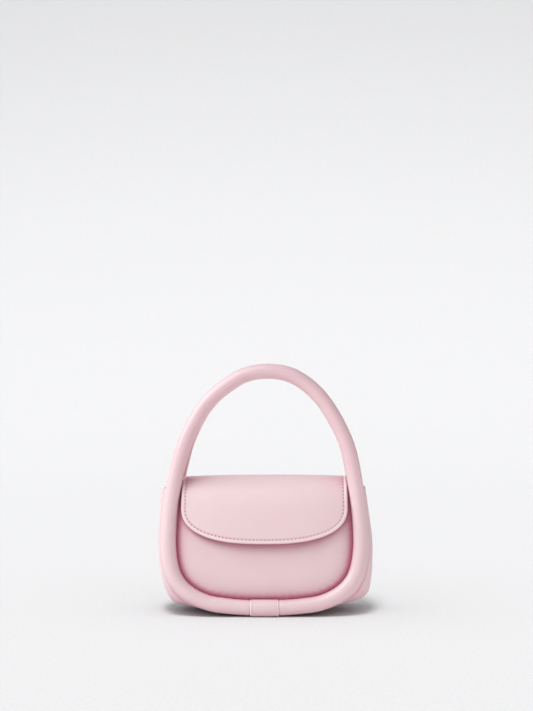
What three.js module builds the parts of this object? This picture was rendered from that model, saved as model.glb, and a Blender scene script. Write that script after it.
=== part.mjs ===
// A small top-handle handbag of smooth pink leather, in millimetres, +Z up, its front facing -Y.
// Two padded tube frames lean together at the top, where they are the handle. Lower down each one
// borders a panel, and a wide gusset runs round the sides and base from one frame to the other.
// A stitched flap starts on the back panel, goes over the mouth and closes on the front panel.
import * as THREE from "three";

// Leather and seams
const TUBE_RADIUS = 7;
const TUBE_WAIST_RADIUS = 6.3; // the padding is skived where the two tube ends meet, under the keeper
const GUSSET_WALL = 1.8;
const PANEL_WALL = 1.6;
const FLAP_WALL = 2.2; // two layers, stitched together
const SEAM_GAP = 0.3;

// Half of a frame's centreline, from the middle of the base up to the middle of the handle
const FRAME_LOOP = [
  { x: 0, z: 7.5 },
  { x: 33, z: 9.2 },
  { x: 54, z: 13 },
  { x: 72.5, z: 23.3 },
  { x: 83, z: 37.3 },
  { x: 87.7, z: 60 },
  { x: 87, z: 88 },
  { x: 84, z: 115.5 },
  { x: 76.4, z: 151 },
  { x: 67, z: 173.3 },
  { x: 53.8, z: 194.2 },
  { x: 38, z: 209.2 },
  { x: 20.6, z: 219.3 },
  { x: 0, z: 222.7 },
];
const BASE_Z = FRAME_LOOP[0].z;
const TOP_Z = FRAME_LOOP.at(-1).z;
const FRAME_BASE_Y = 32; // from the bag's middle plane to a frame's centreline, at the base
const FRAME_TOP_Y = TUBE_RADIUS + SEAM_GAP / 2; // the two handles touch at the top
const HANDLE_SKEW = 3; // the soft handle leans this far to the right at its top
const SKEW_FROM_Z = 180;
const TUBE_STEPS = 72;
const TUBE_SIDES = 12;

// The keeper is a leather tab round the front and underside of a tube, over the joint of its ends
const KEEPER_WIDTH = 25.7;
const KEEPER_INNER_RADIUS = TUBE_WAIST_RADIUS + SEAM_GAP;
const KEEPER_OUTER_RADIUS = 7.8;
const KEEPER_FROM_DEG = -92; // 0 faces forwards, 90 faces down
const KEEPER_TO_DEG = 128;
const KEEPER_STEPS = 22;
const WAIST_HALF_WIDTH = KEEPER_WIDTH / 2 + 0.4;
const WAIST_FADE = 2; // the tube's padding is full again this far past its waist

// Panels: a pillow that starts just behind its tube and swells forwards
const PANEL_INSET = 4.2; // from the tube's centreline in to the panel's edge
const PANEL_FLANGE = 2; // sewn margin that follows the back of the tube
const PANEL_FLANGE_SLOPE = 0.9;
const PANEL_EDGE_BACK = 5; // the swell starts this far behind the tube's centreline
const PANEL_SWELL = 8;
const PANEL_SWELL_WIDTH = 20; // the swell reaches its full height this far in from the edge
const PANEL_CROWN = 2; // a broad bulge over the whole panel
const PANEL_CROWN_Z = 60;
const PANEL_TOP_Z = 114;
const PANEL_MOUTH_FALL = 5; // the free top edge falls back this far under the flap
const PANEL_MOUTH_FALL_HEIGHT = 34;
const PANEL_STEPS = 44;
const PANEL_RINGS = [0.16, 0.4, 0.6, 0.75, 0.86, 0.93, 0.972, 1];

// Gusset: half of its outline half way between the frames, from the shoulder to the middle of the base.
// seam is the share of the frame's half loop, from its base, at which the strip there is sewn to it.
const GUSSET_MIDDLE = [
  { x: 95, z: 114.5, seam: 0.533 },
  { x: 97.6, z: 93, seam: 0.466 },
  { x: 99.9, z: 66, seam: 0.385 },
  { x: 99.7, z: 45, seam: 0.312 },
  { x: 97.6, z: 27.6, seam: 0.277 },
  { x: 92.6, z: 14.6, seam: 0.24 },
  { x: 80, z: 6.7, seam: 0.203 },
  { x: 58, z: 3.2, seam: 0.154 },
  { x: 30, z: 2, seam: 0.09 },
  { x: 0, z: 1.8, seam: 0 },
];
const GUSSET_SEAM_OFFSET = 3.6; // the seam lies this far outside the tube's centreline
const GUSSET_SEAM_BACK = 6.9; // and this far behind it
const GUSSET_BULGE_POWER = 2.3;
const GUSSET_STATIONS = 50;
const GUSSET_ACROSS = 8;

// Flap: its outer face on the bag's middle plane, from its end on the back panel to its front edge.
// drop is how far the face falls away, square to itself, at the flap's side edges.
const FLAP_PROFILE = [
  { y: 26.4, z: 96, drop: 0.8 },
  { y: 24.8, z: 104, drop: 0.8 },
  { y: 22.9, z: 111, drop: 0.9 },
  { y: 19.2, z: 117.6, drop: 1.2 },
  { y: 11.2, z: 123.6, drop: 1.5 },
  { y: 0, z: 126, drop: 1.5 },
  { y: -8, z: 125.2, drop: 1.5 },
  { y: -15, z: 121.8, drop: 1.7 },
  { y: -21.5, z: 116, drop: 2.2 },
  { y: -27, z: 107, drop: 3 },
  { y: -31.3, z: 95, drop: 4 },
  { y: -34.6, z: 80, drop: 4.4 },
  { y: -36.7, z: 66.3, drop: 4.4 },
];
const FLAP_HALF_WIDTH = 76.2;
const FLAP_RIDGE_HALF_WIDTH = 76; // where it passes between the tubes
const FLAP_WAIST_FROM_EDGE = 74; // the flap is narrowest this far from its front edge
const FLAP_CORNER_HEIGHT = 35.2; // the front edge is half a superellipse, this tall
const FLAP_CORNER_POWER = 2.55;
const FLAP_BACK_CORNER = 12;
const FLAP_ROWS = 26;
const FLAP_COLUMNS = 22;

// Hidden magnetic clasp between the flap and the front panel
const CLASP_RADIUS = 8;
const CLASP_THICKNESS = 2.9;
const CLASP_Z = 79;
const CLASP_SIDES = 20;

const leather = (color, roughness) => new THREE.MeshStandardMaterial({ color, roughness, metalness: 0 });
const tubeLeather = leather("#efcfd5", 0.48);
const panelLeather = leather("#e9c6cc", 0.5);
const flapLeather = leather("#f0d3d8", 0.46);
const claspMetal = new THREE.MeshStandardMaterial({ color: "#c9c6c4", roughness: 0.35, metalness: 1 });

const bag = new THREE.Group();
bag.name = "handbag";

function addPiece(name, geometry, material) {
  const mesh = new THREE.Mesh(geometry, material);
  mesh.name = name;
  bag.add(mesh);
}

function indexedGeometry(points, triangles) {
  const geometry = new THREE.BufferGeometry();
  geometry.setAttribute("position", new THREE.Float32BufferAttribute(points.flatMap((p) => [p.x, p.y, p.z]), 3));
  geometry.setIndex(triangles.flat());
  geometry.computeVertexNormals();
  return geometry;
}

// The two triangles of a four-sided face, seen from outside against the clock
const quad = (a, b, c, d) => [
  [a, b, c],
  [a, c, d],
];

// A wall between two equal grids of points: its outer face, its inner face and the four rims
function wallGeometry(outer, inner) {
  const rows = outer.length;
  const columns = outer[0].length;
  const points = [...outer.flat(), ...inner.flat()];
  const out = (i, j) => i * columns + j;
  const within = (i, j) => rows * columns + out(i, j);
  const triangles = [];
  for (let i = 0; i + 1 < rows; i++) {
    for (let j = 0; j + 1 < columns; j++) {
      triangles.push(...quad(out(i, j), out(i, j + 1), out(i + 1, j + 1), out(i + 1, j)));
      triangles.push(...quad(within(i, j), within(i + 1, j), within(i + 1, j + 1), within(i, j + 1)));
    }
    const last = columns - 1;
    triangles.push(...quad(out(i, 0), out(i + 1, 0), within(i + 1, 0), within(i, 0)));
    triangles.push(...quad(out(i, last), within(i, last), within(i + 1, last), out(i + 1, last)));
  }
  for (let j = 0; j + 1 < columns; j++) {
    const last = rows - 1;
    triangles.push(...quad(out(0, j), within(0, j), within(0, j + 1), out(0, j + 1)));
    triangles.push(...quad(out(last, j), out(last, j + 1), within(last, j + 1), within(last, j)));
  }
  return indexedGeometry(points, triangles);
}

// Rings of equal count joined one to the next. Closed, the last ring joins the first;
// otherwise a fan to its middle closes each end.
function ringsGeometry(rings, closed) {
  const count = rings[0].length;
  const points = rings.flat();
  const at = (i, j) => (i % rings.length) * count + (j % count);
  const triangles = [];
  for (let i = 0; i < rings.length - (closed ? 0 : 1); i++) {
    for (let j = 0; j < count; j++) {
      triangles.push(...quad(at(i, j), at(i, j + 1), at(i + 1, j + 1), at(i + 1, j)));
    }
  }
  if (!closed) {
    for (const end of [0, rings.length - 1]) {
      const middle = new THREE.Vector3();
      rings[end].forEach((p) => middle.addScaledVector(p, 1 / count));
      points.push(middle);
      for (let j = 0; j < count; j++) {
        const edge = [at(end, j), at(end, j + 1)];
        triangles.push(end === 0 ? [...edge.reverse(), points.length - 1] : [...edge, points.length - 1]);
      }
    }
  }
  return indexedGeometry(points, triangles);
}

const smooth = (low, high, value) => THREE.MathUtils.smoothstep(value, low, high);

// A frame's centreline in the XZ plane, closed, from the middle of the base towards +X
const rightHalf = FRAME_LOOP.map(({ x, z }) => new THREE.Vector3(x, 0, z));
const leftHalf = rightHalf.slice(1, -1).reverse();
const frameCurve = new THREE.CatmullRomCurve3(
  [...rightHalf, ...leftHalf.map((p) => new THREE.Vector3(-p.x, 0, p.z))],
  true,
  "centripetal",
);
frameCurve.arcLengthDivisions = 800;

// How far a frame's centreline lies from the middle plane at a height
const frameDepth = (z) => THREE.MathUtils.mapLinear(z, BASE_Z, TOP_Z, FRAME_BASE_Y, FRAME_TOP_Y);
const handleSkew = (z) => HANDLE_SKEW * smooth(SKEW_FROM_Z, TOP_Z, z);

// A point of the XZ loop, moved out along the loop's own normal
function loopPoint(share, outwards) {
  const p = frameCurve.getPointAt(share);
  const t = frameCurve.getTangentAt(share);
  return new THREE.Vector3(p.x + t.z * outwards, 0, p.z - t.x * outwards);
}

// Shares of the loop at which a tube has a ring: close at the waist, even over the rest
function tubeShares() {
  const length = frameCurve.getLength();
  const full = (WAIST_HALF_WIDTH + WAIST_FADE) / length;
  const waist = [WAIST_HALF_WIDTH / 2 / length, WAIST_HALF_WIDTH / length];
  const shares = [0, ...waist];
  for (let i = 0; i <= TUBE_STEPS; i++) {
    shares.push(THREE.MathUtils.mapLinear(i, 0, TUBE_STEPS, full, 1 - full));
  }
  return [...shares, ...waist.reverse().map((share) => 1 - share)];
}

// The tube of one frame: side is -1 for the front and +1 for the back
function frameTube(side) {
  const planeNormal = new THREE.Vector3(0, side, (FRAME_BASE_Y - FRAME_TOP_Y) / (TOP_Z - BASE_Z)).normalize();
  const rings = [];
  for (const share of tubeShares()) {
    const p = frameCurve.getPointAt(share);
    const t = frameCurve.getTangentAt(share);
    const centre = new THREE.Vector3(p.x + handleSkew(p.z), side * frameDepth(p.z), p.z);
    const outwards = new THREE.Vector3(t.z, 0, -t.x);
    outwards.addScaledVector(planeNormal, -outwards.dot(planeNormal)).normalize();
    const pastWaist = p.z > TOP_Z / 2 ? 1 : smooth(WAIST_HALF_WIDTH, WAIST_HALF_WIDTH + WAIST_FADE, Math.abs(p.x));
    const radius = THREE.MathUtils.lerp(TUBE_WAIST_RADIUS, TUBE_RADIUS, pastWaist);
    const ring = [];
    for (let j = 0; j < TUBE_SIDES; j++) {
      const angle = (side * j * 2 * Math.PI) / TUBE_SIDES;
      ring.push(
        centre.clone()
          .addScaledVector(outwards, radius * Math.cos(angle))
          .addScaledVector(planeNormal, radius * Math.sin(angle)),
      );
    }
    rings.push(ring);
  }
  return ringsGeometry(rings, true);
}

// The tab round a tube, a C-shaped section along X with its underside flattened where the bag stands
function keeper(side) {
  const grid = (radius) => {
    const rows = [];
    for (let i = 0; i <= KEEPER_STEPS; i++) {
      const turn = THREE.MathUtils.degToRad(
        THREE.MathUtils.mapLinear(i, 0, KEEPER_STEPS, KEEPER_FROM_DEG, KEEPER_TO_DEG),
      );
      const y = side * (FRAME_BASE_Y + radius * Math.cos(turn));
      const z = Math.max(0, BASE_Z - radius * Math.sin(turn));
      rows.push([-1, 1].map((end) => new THREE.Vector3((end * side * KEEPER_WIDTH) / 2, y, z)));
    }
    return rows;
  };
  return wallGeometry(grid(KEEPER_OUTER_RADIUS), grid(KEEPER_INNER_RADIUS));
}

// Shortest way from a point of the XZ plane to the frame's centreline
const loopSamples = frameCurve.getSpacedPoints(360);
function distanceToLoop(x, z) {
  return Math.min(...loopSamples.map((p) => Math.hypot(p.x - x, p.z - z)));
}

// How far a panel's outer face lies from the bag's middle plane
function panelFace(x, z) {
  const pastFlange = distanceToLoop(x, z) - PANEL_INSET - PANEL_FLANGE;
  const flange = PANEL_FLANGE_SLOPE * Math.max(0, -pastFlange);
  const inwards = THREE.MathUtils.clamp(pastFlange / PANEL_SWELL_WIDTH, 0, 1);
  const fall = PANEL_MOUTH_FALL * smooth(PANEL_TOP_Z - PANEL_MOUTH_FALL_HEIGHT, PANEL_TOP_Z, z);
  const swell = (PANEL_SWELL - fall) * Math.sqrt(1 - (1 - inwards) ** 2);
  const acrossX = 1 - (x / FRAME_LOOP[5].x) ** 2;
  const acrossZ = 1 - ((z - PANEL_CROWN_Z) / (PANEL_TOP_Z - PANEL_CROWN_Z)) ** 2;
  const crown = PANEL_CROWN * Math.max(0, acrossX) * Math.max(0, acrossZ);
  return frameDepth(z) - PANEL_EDGE_BACK - flange + swell + crown;
}

// A panel's outline: along the inside of its tube, then straight across the bag's mouth
function panelOutline() {
  const topShare = shareAtHeight(PANEL_TOP_Z);
  const sweep = PANEL_STEPS - Math.round(PANEL_STEPS / 4);
  const points = [];
  for (let i = 0; i <= sweep; i++) {
    points.push(loopPoint((1 + THREE.MathUtils.mapLinear(i, 0, sweep, -topShare, topShare)) % 1, -PANEL_INSET));
  }
  const [left, right] = [points[0], points.at(-1)];
  for (let i = sweep + 1; i < PANEL_STEPS; i++) {
    points.push(right.clone().lerp(left, (i - sweep) / (PANEL_STEPS - sweep)));
  }
  return points;
}

// Share of the loop, going up its right side, at which the centreline reaches a height
function shareAtHeight(z) {
  let [low, high] = [0, 0.5];
  while (high - low > 1e-6) {
    const middle = (low + high) / 2;
    if (frameCurve.getPointAt(middle).z < z) low = middle;
    else high = middle;
  }
  return low;
}

function panel(side) {
  const outline = panelOutline();
  const centre = new THREE.Vector3(0, 0, PANEL_CROWN_Z);
  const ring = (share, wall) =>
    outline.map((edge) => {
      const p = centre.clone().lerp(edge, share);
      return new THREE.Vector3(p.x * -side, side * (panelFace(p.x, p.z) - wall), p.z);
    });
  const outer = PANEL_RINGS.map((share) => ring(share, 0));
  const inner = PANEL_RINGS.map((share) => ring(share, PANEL_WALL)).reverse();
  return ringsGeometry([...outer, ...inner].reverse(), false);
}

// The gusset, lofted from one shoulder under the base to the other
function gusset() {
  const middleHalf = GUSSET_MIDDLE.map(({ x, z }) => new THREE.Vector3(x, 0, z));
  const middleCurve = new THREE.CatmullRomCurve3(
    [...middleHalf, ...middleHalf.slice(0, -1).reverse().map((p) => new THREE.Vector3(-p.x, 0, p.z))],
    false,
    "centripetal",
  );
  const rightShares = GUSSET_MIDDLE.map(({ seam }) => seam / 2);
  const shares = [...rightShares, ...rightShares.slice(0, -1).reverse().map((share) => -share)];
  const stations = [];
  for (let i = 0; i <= GUSSET_STATIONS; i++) {
    const t = i / GUSSET_STATIONS;
    const place = t * (shares.length - 1);
    const row = Math.min(Math.floor(place), shares.length - 2);
    const share = (1 + THREE.MathUtils.lerp(shares[row], shares[row + 1], place - row)) % 1;
    const seam = loopPoint(share, GUSSET_SEAM_OFFSET);
    const middle = middleCurve.getPoint(t);
    const halfDepth = frameDepth(loopPoint(share, 0).z) - GUSSET_SEAM_BACK;
    const tangent = middleCurve.getTangent(t);
    stations.push({ seam, middle, halfDepth, inwards: new THREE.Vector3(tangent.z, 0, -tangent.x) });
  }
  const shoulderZ = GUSSET_MIDDLE[0].z;
  const grid = (wall) =>
    stations.map(({ seam, middle, halfDepth, inwards }, i) => {
      const row = [];
      for (let j = 0; j <= GUSSET_ACROSS; j++) {
        const across = Math.sin((Math.PI / 2) * THREE.MathUtils.mapLinear(j, 0, GUSSET_ACROSS, 1, -1));
        const bulge = 1 - Math.abs(across) ** GUSSET_BULGE_POWER;
        const p = seam.clone().lerp(middle, bulge).addScaledVector(inwards, wall);
        const atShoulder = i === 0 || i === GUSSET_STATIONS;
        row.push(new THREE.Vector3(p.x, across * halfDepth, atShoulder ? shoulderZ : p.z));
      }
      return row;
    });
  return wallGeometry(grid(0), grid(GUSSET_WALL));
}

// The flap, rows along its length and columns across, bunched towards its round corners
const flapCurve = new THREE.CatmullRomCurve3(
  FLAP_PROFILE.map(({ y, z }) => new THREE.Vector3(0, y, z)),
  false,
  "centripetal",
);
flapCurve.arcLengthDivisions = 600;
const flapLength = flapCurve.getLength();

// The flap's outer face at a distance along it and a share of its half width
function flapPoint(along, across, wall) {
  const u = THREE.MathUtils.clamp(along / flapLength, 0, 1);
  const p = flapCurve.getPointAt(u);
  const t = flapCurve.getTangentAt(u);
  const place = flapCurve.getUtoTmapping(u) * (FLAP_PROFILE.length - 1);
  const row = Math.min(Math.floor(place), FLAP_PROFILE.length - 2);
  const drop = THREE.MathUtils.lerp(FLAP_PROFILE[row].drop, FLAP_PROFILE[row + 1].drop, place - row);
  const waist = smooth(FLAP_CORNER_HEIGHT, FLAP_WAIST_FROM_EDGE, flapLength - along);
  const halfWidth = THREE.MathUtils.lerp(FLAP_HALF_WIDTH, FLAP_RIDGE_HALF_WIDTH, waist);
  const inwards = drop * across * across + wall;
  return new THREE.Vector3(across * halfWidth, p.y - t.z * inwards, p.z + t.y * inwards);
}

function flap() {
  const grid = (wall) => {
    const rows = [];
    for (let i = 0; i <= FLAP_ROWS; i++) {
      const row = [];
      for (let j = 0; j <= FLAP_COLUMNS; j++) {
        const across = Math.sin((Math.PI / 2) * THREE.MathUtils.mapLinear(j, 0, FLAP_COLUMNS, 1, -1));
        const round = (1 - Math.abs(across) ** FLAP_CORNER_POWER) ** (1 / FLAP_CORNER_POWER);
        const front = flapLength - FLAP_CORNER_HEIGHT * (1 - round);
        const pastCorner = Math.max(0, Math.abs(across) * FLAP_HALF_WIDTH - FLAP_HALF_WIDTH + FLAP_BACK_CORNER);
        const back = FLAP_BACK_CORNER - Math.sqrt(FLAP_BACK_CORNER ** 2 - pastCorner ** 2);
        row.push(flapPoint(THREE.MathUtils.mapLinear(i, 0, FLAP_ROWS, back, front), across, wall));
      }
      rows.push(row);
    }
    return rows;
  };
  return wallGeometry(grid(0), grid(FLAP_WALL));
}

// The clasp is a flat disc square to the flap, its back just clear of the front panel
function clasp() {
  const geometry = new THREE.CylinderGeometry(CLASP_RADIUS, CLASP_RADIUS, CLASP_THICKNESS, CLASP_SIDES);
  const lean = Math.atan((FLAP_PROFILE.at(-1).y - FLAP_PROFILE.at(-2).y) / (FLAP_PROFILE.at(-1).z - FLAP_PROFILE.at(-2).z));
  geometry.rotateX(-lean);
  geometry.translate(0, -panelFace(0, CLASP_Z) - SEAM_GAP - CLASP_THICKNESS / 2, CLASP_Z);
  return geometry;
}

for (const [place, side] of [["front", -1], ["rear", 1]]) {
  addPiece(`${place}_frame_tube`, frameTube(side), tubeLeather);
  addPiece(`${place}_keeper`, keeper(side), tubeLeather);
  addPiece(`${place}_panel`, panel(side), panelLeather);
}
addPiece("gusset", gusset(), panelLeather);
addPiece("flap", flap(), flapLeather);
addPiece("magnetic_clasp", clasp(), claspMetal);

export default bag;
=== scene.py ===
# %% [markdown]
# # A pink leather mini handbag
# The bag is two padded leather tubes that lean together at the top, a pillowed panel inside each
# tube, a wide gusset between them, and a stitched flap over the mouth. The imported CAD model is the
# fixed frame. Each leather piece here takes the place of one of its nodes, at the same size, with the
# swelling, seams, edges, stitches and leather that the solids leave out.

# %% Load the frame
import math

import bpy
import numpy as np
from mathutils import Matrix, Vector


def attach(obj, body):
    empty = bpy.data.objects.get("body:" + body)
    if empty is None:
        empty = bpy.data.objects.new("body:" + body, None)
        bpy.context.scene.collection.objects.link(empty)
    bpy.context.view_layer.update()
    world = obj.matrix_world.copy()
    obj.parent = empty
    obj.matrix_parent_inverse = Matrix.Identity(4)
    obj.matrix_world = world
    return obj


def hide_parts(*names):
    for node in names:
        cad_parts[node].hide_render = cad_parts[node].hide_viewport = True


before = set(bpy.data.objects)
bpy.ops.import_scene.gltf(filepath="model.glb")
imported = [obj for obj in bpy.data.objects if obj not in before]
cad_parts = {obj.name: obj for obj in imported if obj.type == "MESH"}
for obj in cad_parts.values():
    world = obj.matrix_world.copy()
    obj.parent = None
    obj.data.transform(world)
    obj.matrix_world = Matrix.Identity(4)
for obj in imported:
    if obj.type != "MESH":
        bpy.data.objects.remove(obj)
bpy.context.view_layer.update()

MM = 0.001


def add_object(name, data):
    """An object with the given data, linked to the scene."""
    made = bpy.data.objects.new(name, data)
    bpy.context.scene.collection.objects.link(made)
    return made


print("nodes to dress:", ", ".join(sorted(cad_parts)))

# %% [markdown]
# ## The camera
# The photograph is taken straight from the front with a long lens, level with the top of the handle.
# The bag is turned a little, so that its right side shows more than its left. The lens comes from the
# scale: 711 pixels are 647 mm at the front tube, seen from 1.2 m.

# %% Camera
PHOTO_WIDTH = 533
PHOTO_HEIGHT = 711
MM_PER_PIXEL = 0.91
CAMERA_DISTANCE = 1200
CAMERA_HEIGHT = 237.3
CAMERA_YAW = math.radians(1.6)
CAMERA_ROLL = math.radians(0.3)
BAG_AT_PIXEL = 263.3
FRONT_PLANE_Y = -32
SENSOR = 36

forwards = np.array([-math.sin(CAMERA_YAW), math.cos(CAMERA_YAW), 0])
rightwards = np.array([math.cos(CAMERA_YAW), math.sin(CAMERA_YAW), 0])
aim = np.array([0, FRONT_PLANE_Y, CAMERA_HEIGHT])
stand = aim - forwards * CAMERA_DISTANCE - rightwards * (BAG_AT_PIXEL - PHOTO_WIDTH / 2) * MM_PER_PIXEL

camera_data = bpy.data.cameras.new("photo_camera")
camera_data.sensor_fit = "VERTICAL"
camera_data.sensor_height = SENSOR
camera_data.lens = SENSOR * CAMERA_DISTANCE / (PHOTO_HEIGHT * MM_PER_PIXEL)
camera = add_object("photo_camera", camera_data)
camera.location = stand * MM
camera.rotation_euler = (math.pi / 2, CAMERA_ROLL, CAMERA_YAW)
bpy.context.scene.camera = camera
print(f"lens {camera_data.lens:.1f} mm")

# %% [markdown]
# ## Nodes and colours
# Every material and every Geometry Nodes tree below is wired by one function. Colours are written as
# they are read off a screen, in sRGB, and turned to the linear values that the shaders work with.

# %% Wiring and colour helpers
def add_node(tree, kind, links=None, values=None, **settings):
    """Add a node, set its properties and socket values, and link sources to its inputs."""
    node = tree.nodes.new(kind)
    for name, value in settings.items():
        setattr(node, name, value)
    for socket, value in (values or {}).items():
        node.inputs[socket].default_value = value
    for socket, source in (links or {}).items():
        tree.links.new(source, node.inputs[socket])
    return node


def to_linear(hex_colour):
    """Linear RGBA of an sRGB hex colour such as #efd4d8."""
    shares = [int(hex_colour[i:i + 2], 16) / 255 for i in (1, 3, 5)]
    linear = [s / 12.92 if s <= 0.04045 else ((s + 0.055) / 1.055) ** 2.4 for s in shares]
    return (*linear, 1.0)


def new_material(name):
    """A material, its node tree, its shader's inputs and the place on the object in metres."""
    material = bpy.data.materials.new(name)
    material.use_nodes = True
    tree = material.node_tree
    where = add_node(tree, "ShaderNodeTexCoord").outputs["Object"]
    return material, tree, tree.nodes["Principled BSDF"].inputs, where


def new_tree(name, inputs):
    """An empty Geometry Nodes tree with inputs of the given kinds, and the sockets that bring them in."""
    tree = bpy.data.node_groups.new(name, "GeometryNodeTree")
    for label, kind in {"Geometry": "Geometry", **inputs}.items():
        tree.interface.new_socket(label, in_out="INPUT", socket_type=f"NodeSocket{kind}")
    tree.interface.new_socket("Geometry", in_out="OUTPUT", socket_type="NodeSocketGeometry")
    return tree, add_node(tree, "NodeGroupInput").outputs


# %% [markdown]
# ## Smooth pink leather
# The bag is of coated split leather: a smooth, matt-satin film with a hardly visible pebble grain,
# embossed at about 0.9 mm. It gives the eye broad soft highlights and a colour that hardly varies.
# Shade is painted into the colour as a deeper pink wherever the leather is tucked away. Two numbers on
# each mesh say where: `seam` mixes in painted shade along grooves, in tucks, on the handle and between
# the tubes, and `rim` the colour of the edges, which is pale paint on a cut piece and painted shade, a
# rosy pink, where a panel meets its tube. An ambient-occlusion node paints the same shade into the other
# nooks. On the tubes it starts only in narrow ones, on the other pieces in shallow hollows as well.

# %% Leather materials
LEATHER_IOR = 1.5
LEATHER_SPECULAR = 0.62
GRAIN_MM = 0.9
GRAIN_DEPTH_MM = 0.12
GRAIN_STRENGTH = 0.22
UNEVEN_MM = 9
UNEVEN_DEPTH_MM = 0.3
UNEVEN_STRENGTH = 0.2
MOTTLE_MM = 28
MOTTLE_TINT = 0.035
GLOSS_SPREAD = 0.04
# Painted shade: how far the occlusion looks, and the occlusion ranges over which the deeper pink is painted
# in
PAINTED_SHADE_REACH_MM = 28
SHADE_IN_WIDE_NOOKS = (0.97, 0.6)
SHADE_IN_DEEP_NOOKS = (0.62, 0.3)


def pink_leather(name, colour, mottle_and_shade_colour, edge_paint_and_shade_colour, roughness, painted_shade_depth, painted_shade_range):
    """Coated leather with mottled colour, shade painted into nooks and grooves, coloured rims and a fine
    pebble grain.
    """
    material, tree, shader, where = new_material(name)
    shader["IOR"].default_value = LEATHER_IOR
    shader["Specular IOR Level"].default_value = LEATHER_SPECULAR

    mottle = add_node(tree, "ShaderNodeTexNoise", {"Vector": where},
                      {"Scale": 1 / (MOTTLE_MM * MM), "Detail": 3})
    tint = add_node(tree, "ShaderNodeMapRange", {"Value": mottle.outputs["Fac"]},
                    {"From Min": 0.35, "From Max": 0.65, "To Min": 0, "To Max": MOTTLE_TINT})
    # Painted shade: the ambient occlusion mixes the deeper pink into nooks, where shade falls
    occlusion = add_node(tree, "ShaderNodeAmbientOcclusion", values={"Distance": PAINTED_SHADE_REACH_MM * MM}, samples=8)
    hidden = add_node(tree, "ShaderNodeMapRange", {"Value": occlusion.outputs["AO"]},
                      {"From Min": painted_shade_range[0], "From Max": painted_shade_range[1],
                       "To Min": 0, "To Max": painted_shade_depth}, interpolation_type="SMOOTHSTEP")
    # seam paints shade into grooves and tucks; rim gives the pale paint of a cut edge, and painted shade on
    # a panel beside its tube
    seam = add_node(tree, "ShaderNodeAttribute", attribute_name="seam")
    rim = add_node(tree, "ShaderNodeAttribute", attribute_name="rim")
    shade = add_node(tree, "ShaderNodeMix", {0: tint.outputs["Result"]},
                     {6: to_linear(colour), 7: to_linear(mottle_and_shade_colour)}, data_type="RGBA")
    for share, over in ((hidden.outputs["Result"], mottle_and_shade_colour), (seam.outputs["Fac"], mottle_and_shade_colour),
                        (rim.outputs["Fac"], edge_paint_and_shade_colour)):
        shade = add_node(tree, "ShaderNodeMix", {0: share, 6: shade.outputs[2]},
                         {7: to_linear(over)}, data_type="RGBA")
    tree.links.new(shade.outputs[2], shader["Base Color"])

    gloss = add_node(tree, "ShaderNodeMapRange", {"Value": mottle.outputs["Fac"]},
                     {"From Min": 0.3, "From Max": 0.7,
                      "To Min": roughness - GLOSS_SPREAD, "To Max": roughness + GLOSS_SPREAD})
    tree.links.new(gloss.outputs["Result"], shader["Roughness"])

    pebbles = add_node(tree, "ShaderNodeTexVoronoi", {"Vector": where}, {"Scale": 1 / (GRAIN_MM * MM)},
                       feature="SMOOTH_F1")
    uneven = add_node(tree, "ShaderNodeTexNoise", {"Vector": where},
                      {"Scale": 1 / (UNEVEN_MM * MM), "Detail": 2})
    soft = add_node(tree, "ShaderNodeBump", {"Height": uneven.outputs["Fac"]},
                    {"Strength": UNEVEN_STRENGTH, "Distance": UNEVEN_DEPTH_MM * MM})
    grain = add_node(tree, "ShaderNodeBump",
                     {"Height": pebbles.outputs["Distance"], "Normal": soft.outputs["Normal"]},
                     {"Strength": GRAIN_STRENGTH, "Distance": GRAIN_DEPTH_MM * MM})
    tree.links.new(grain.outputs["Normal"], shader["Normal"])
    return material


# Each leather's second colour is the deep pink of its painted shade, which the mottle leans towards a
# little; on the panel the strong painted shade makes the shadow under the flap
tube_leather = pink_leather("coated_leather_on_padding", "#e9c9cd", mottle_and_shade_colour="#d8708e",
                            edge_paint_and_shade_colour="#f6e6e9", roughness=0.42, painted_shade_depth=0.16, painted_shade_range=SHADE_IN_DEEP_NOOKS)
panel_leather = pink_leather("coated_leather_panel", "#e9c9cd", mottle_and_shade_colour="#b4506e",
                             edge_paint_and_shade_colour="#de88a0", roughness=0.46, painted_shade_depth=0.84, painted_shade_range=SHADE_IN_WIDE_NOOKS)
gusset_leather = pink_leather("coated_leather_gusset", "#e9c9cd", mottle_and_shade_colour="#c86482",
                              edge_paint_and_shade_colour="#f3e2e5", roughness=0.46, painted_shade_depth=0.14, painted_shade_range=SHADE_IN_WIDE_NOOKS)
flap_leather = pink_leather("coated_leather_flap", "#edcdd0", mottle_and_shade_colour="#c4607e",
                            edge_paint_and_shade_colour="#f0d8db", roughness=0.46, painted_shade_depth=0.54, painted_shade_range=SHADE_IN_WIDE_NOOKS)
print("leathers:", *(m.name for m in (tube_leather, panel_leather, gusset_leather, flap_leather)))

# %% [markdown]
# ## Flesh side, thread, stitch holes and clasp metal
# The inside of a leather wall is its flesh side, a dull suede. Its pink is deepened to paint the shade in
# the narrow gaps where it shows. The thread is a twisted polyester in the leather's own pink. What the
# eye reads as the stitch line is the row of needle holes, each a dark mark of painted shade. The clasp is
# nickel-plated, with the dull shine of a tumbled part.

# %% Other materials
DARK_FIBRE = 0.88
LIGHT_FIBRE = 1.1
FIBRE_GLOSS_SPREAD = 0.08
FIBRE_STRENGTH = 0.4


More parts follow.
